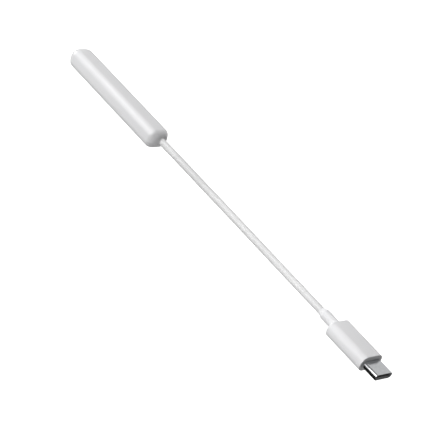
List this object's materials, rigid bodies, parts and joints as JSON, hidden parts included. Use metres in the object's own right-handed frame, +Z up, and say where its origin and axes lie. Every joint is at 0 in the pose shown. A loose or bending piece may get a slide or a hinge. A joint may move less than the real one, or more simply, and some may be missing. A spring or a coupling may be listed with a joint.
{
  "type": "bluetooth audio receiver",
  "caption": "Slim rounded-bar wireless audio receiver with a headphone socket in its end, a side pairing button and a short captive lead to a USB-C plug.",
  "frame": {"origin": "on the surface that the receiver lies on, under the middle of its bar-shaped body", "axes": "+X along the bar towards the lead and the USB-C plug, +Y towards the side with the pairing button, +Z up"},
  "size_m": [0.179, 0.0114, 0.0073],
  "materials": {
    "white_plastic": "satin gloss injection moulded ABS",
    "button_plastic": "satin gloss moulded ABS",
    "lead_jacket": "smooth TPE jacket",
    "gland_rubber": "soft moulded TPE",
    "black_plastic": "glass-filled black plastic",
    "grey_plastic": "moulded nylon",
    "inner_mould": "hard polyethylene inner mould",
    "circuit_board": "green solder mask",
    "chip": "black epoxy",
    "resistor": "black glass on alumina",
    "capacitor": "tan ceramic with tinned ends",
    "antenna_ceramic": "white ceramic with silver ends",
    "shield_can": "tinned steel",
    "plug_steel": "satin stainless steel",
    "socket_metal": "bright nickel plate",
    "spring_steel": "bright spring steel",
    "gold_contact": "thin gold plate",
    "wire_insulation": "red and black PVC insulation",
    "lamp": "moulded LED body",
    "clear_plastic": "clear acrylic"
  },
  "bodies": {
    "receiver": {"upper_housing": "white_plastic", "bottom_cover": "white_plastic", "main_board": "circuit_board", "bluetooth_chip": "chip", "rf_shield": "shield_can", "clock_crystal": "shield_can", "headphone_amplifier": "chip", "voltage_regulator": "chip", "power_inductor": "grey_plastic", "chip_capacitors": "capacitor", "chip_resistors": "resistor", "chip_antenna": "antenna_ceramic", "socket_body": "black_plastic", "socket_collar": "socket_metal", "socket_contacts": "gold_contact", "switch_frame": "grey_plastic", "switch_dome": "spring_steel", "status_led": "lamp", "light_pipe": "clear_plastic", "cable_gland": "gland_rubber", "power_wires": "wire_insulation", "lead": "lead_jacket", "plug_sleeve": "white_plastic", "plug_grip": "white_plastic", "plug_inner_mould": "inner_mould", "plug_shell": "plug_steel", "contact_carrier": "grey_plastic", "upper_contacts": "gold_contact", "lower_contacts": "gold_contact", "latch_springs": "spring_steel", "ground_springs": "spring_steel", "plug_board": "circuit_board", "plug_wires": "wire_insulation", "crimp_ring": "spring_steel"},
    "button": {"pairing_button": "button_plastic", "switch_plunger": "black_plastic"}
  },
  "joints": [
    {"name": "button_press", "type": "slide", "parent": "receiver", "child": "button", "axis": [0, -1, 0], "range_m": [0, 0.00025], "stiffness_N_per_m": 600, "springref_m": -0.0005}
  ]
}
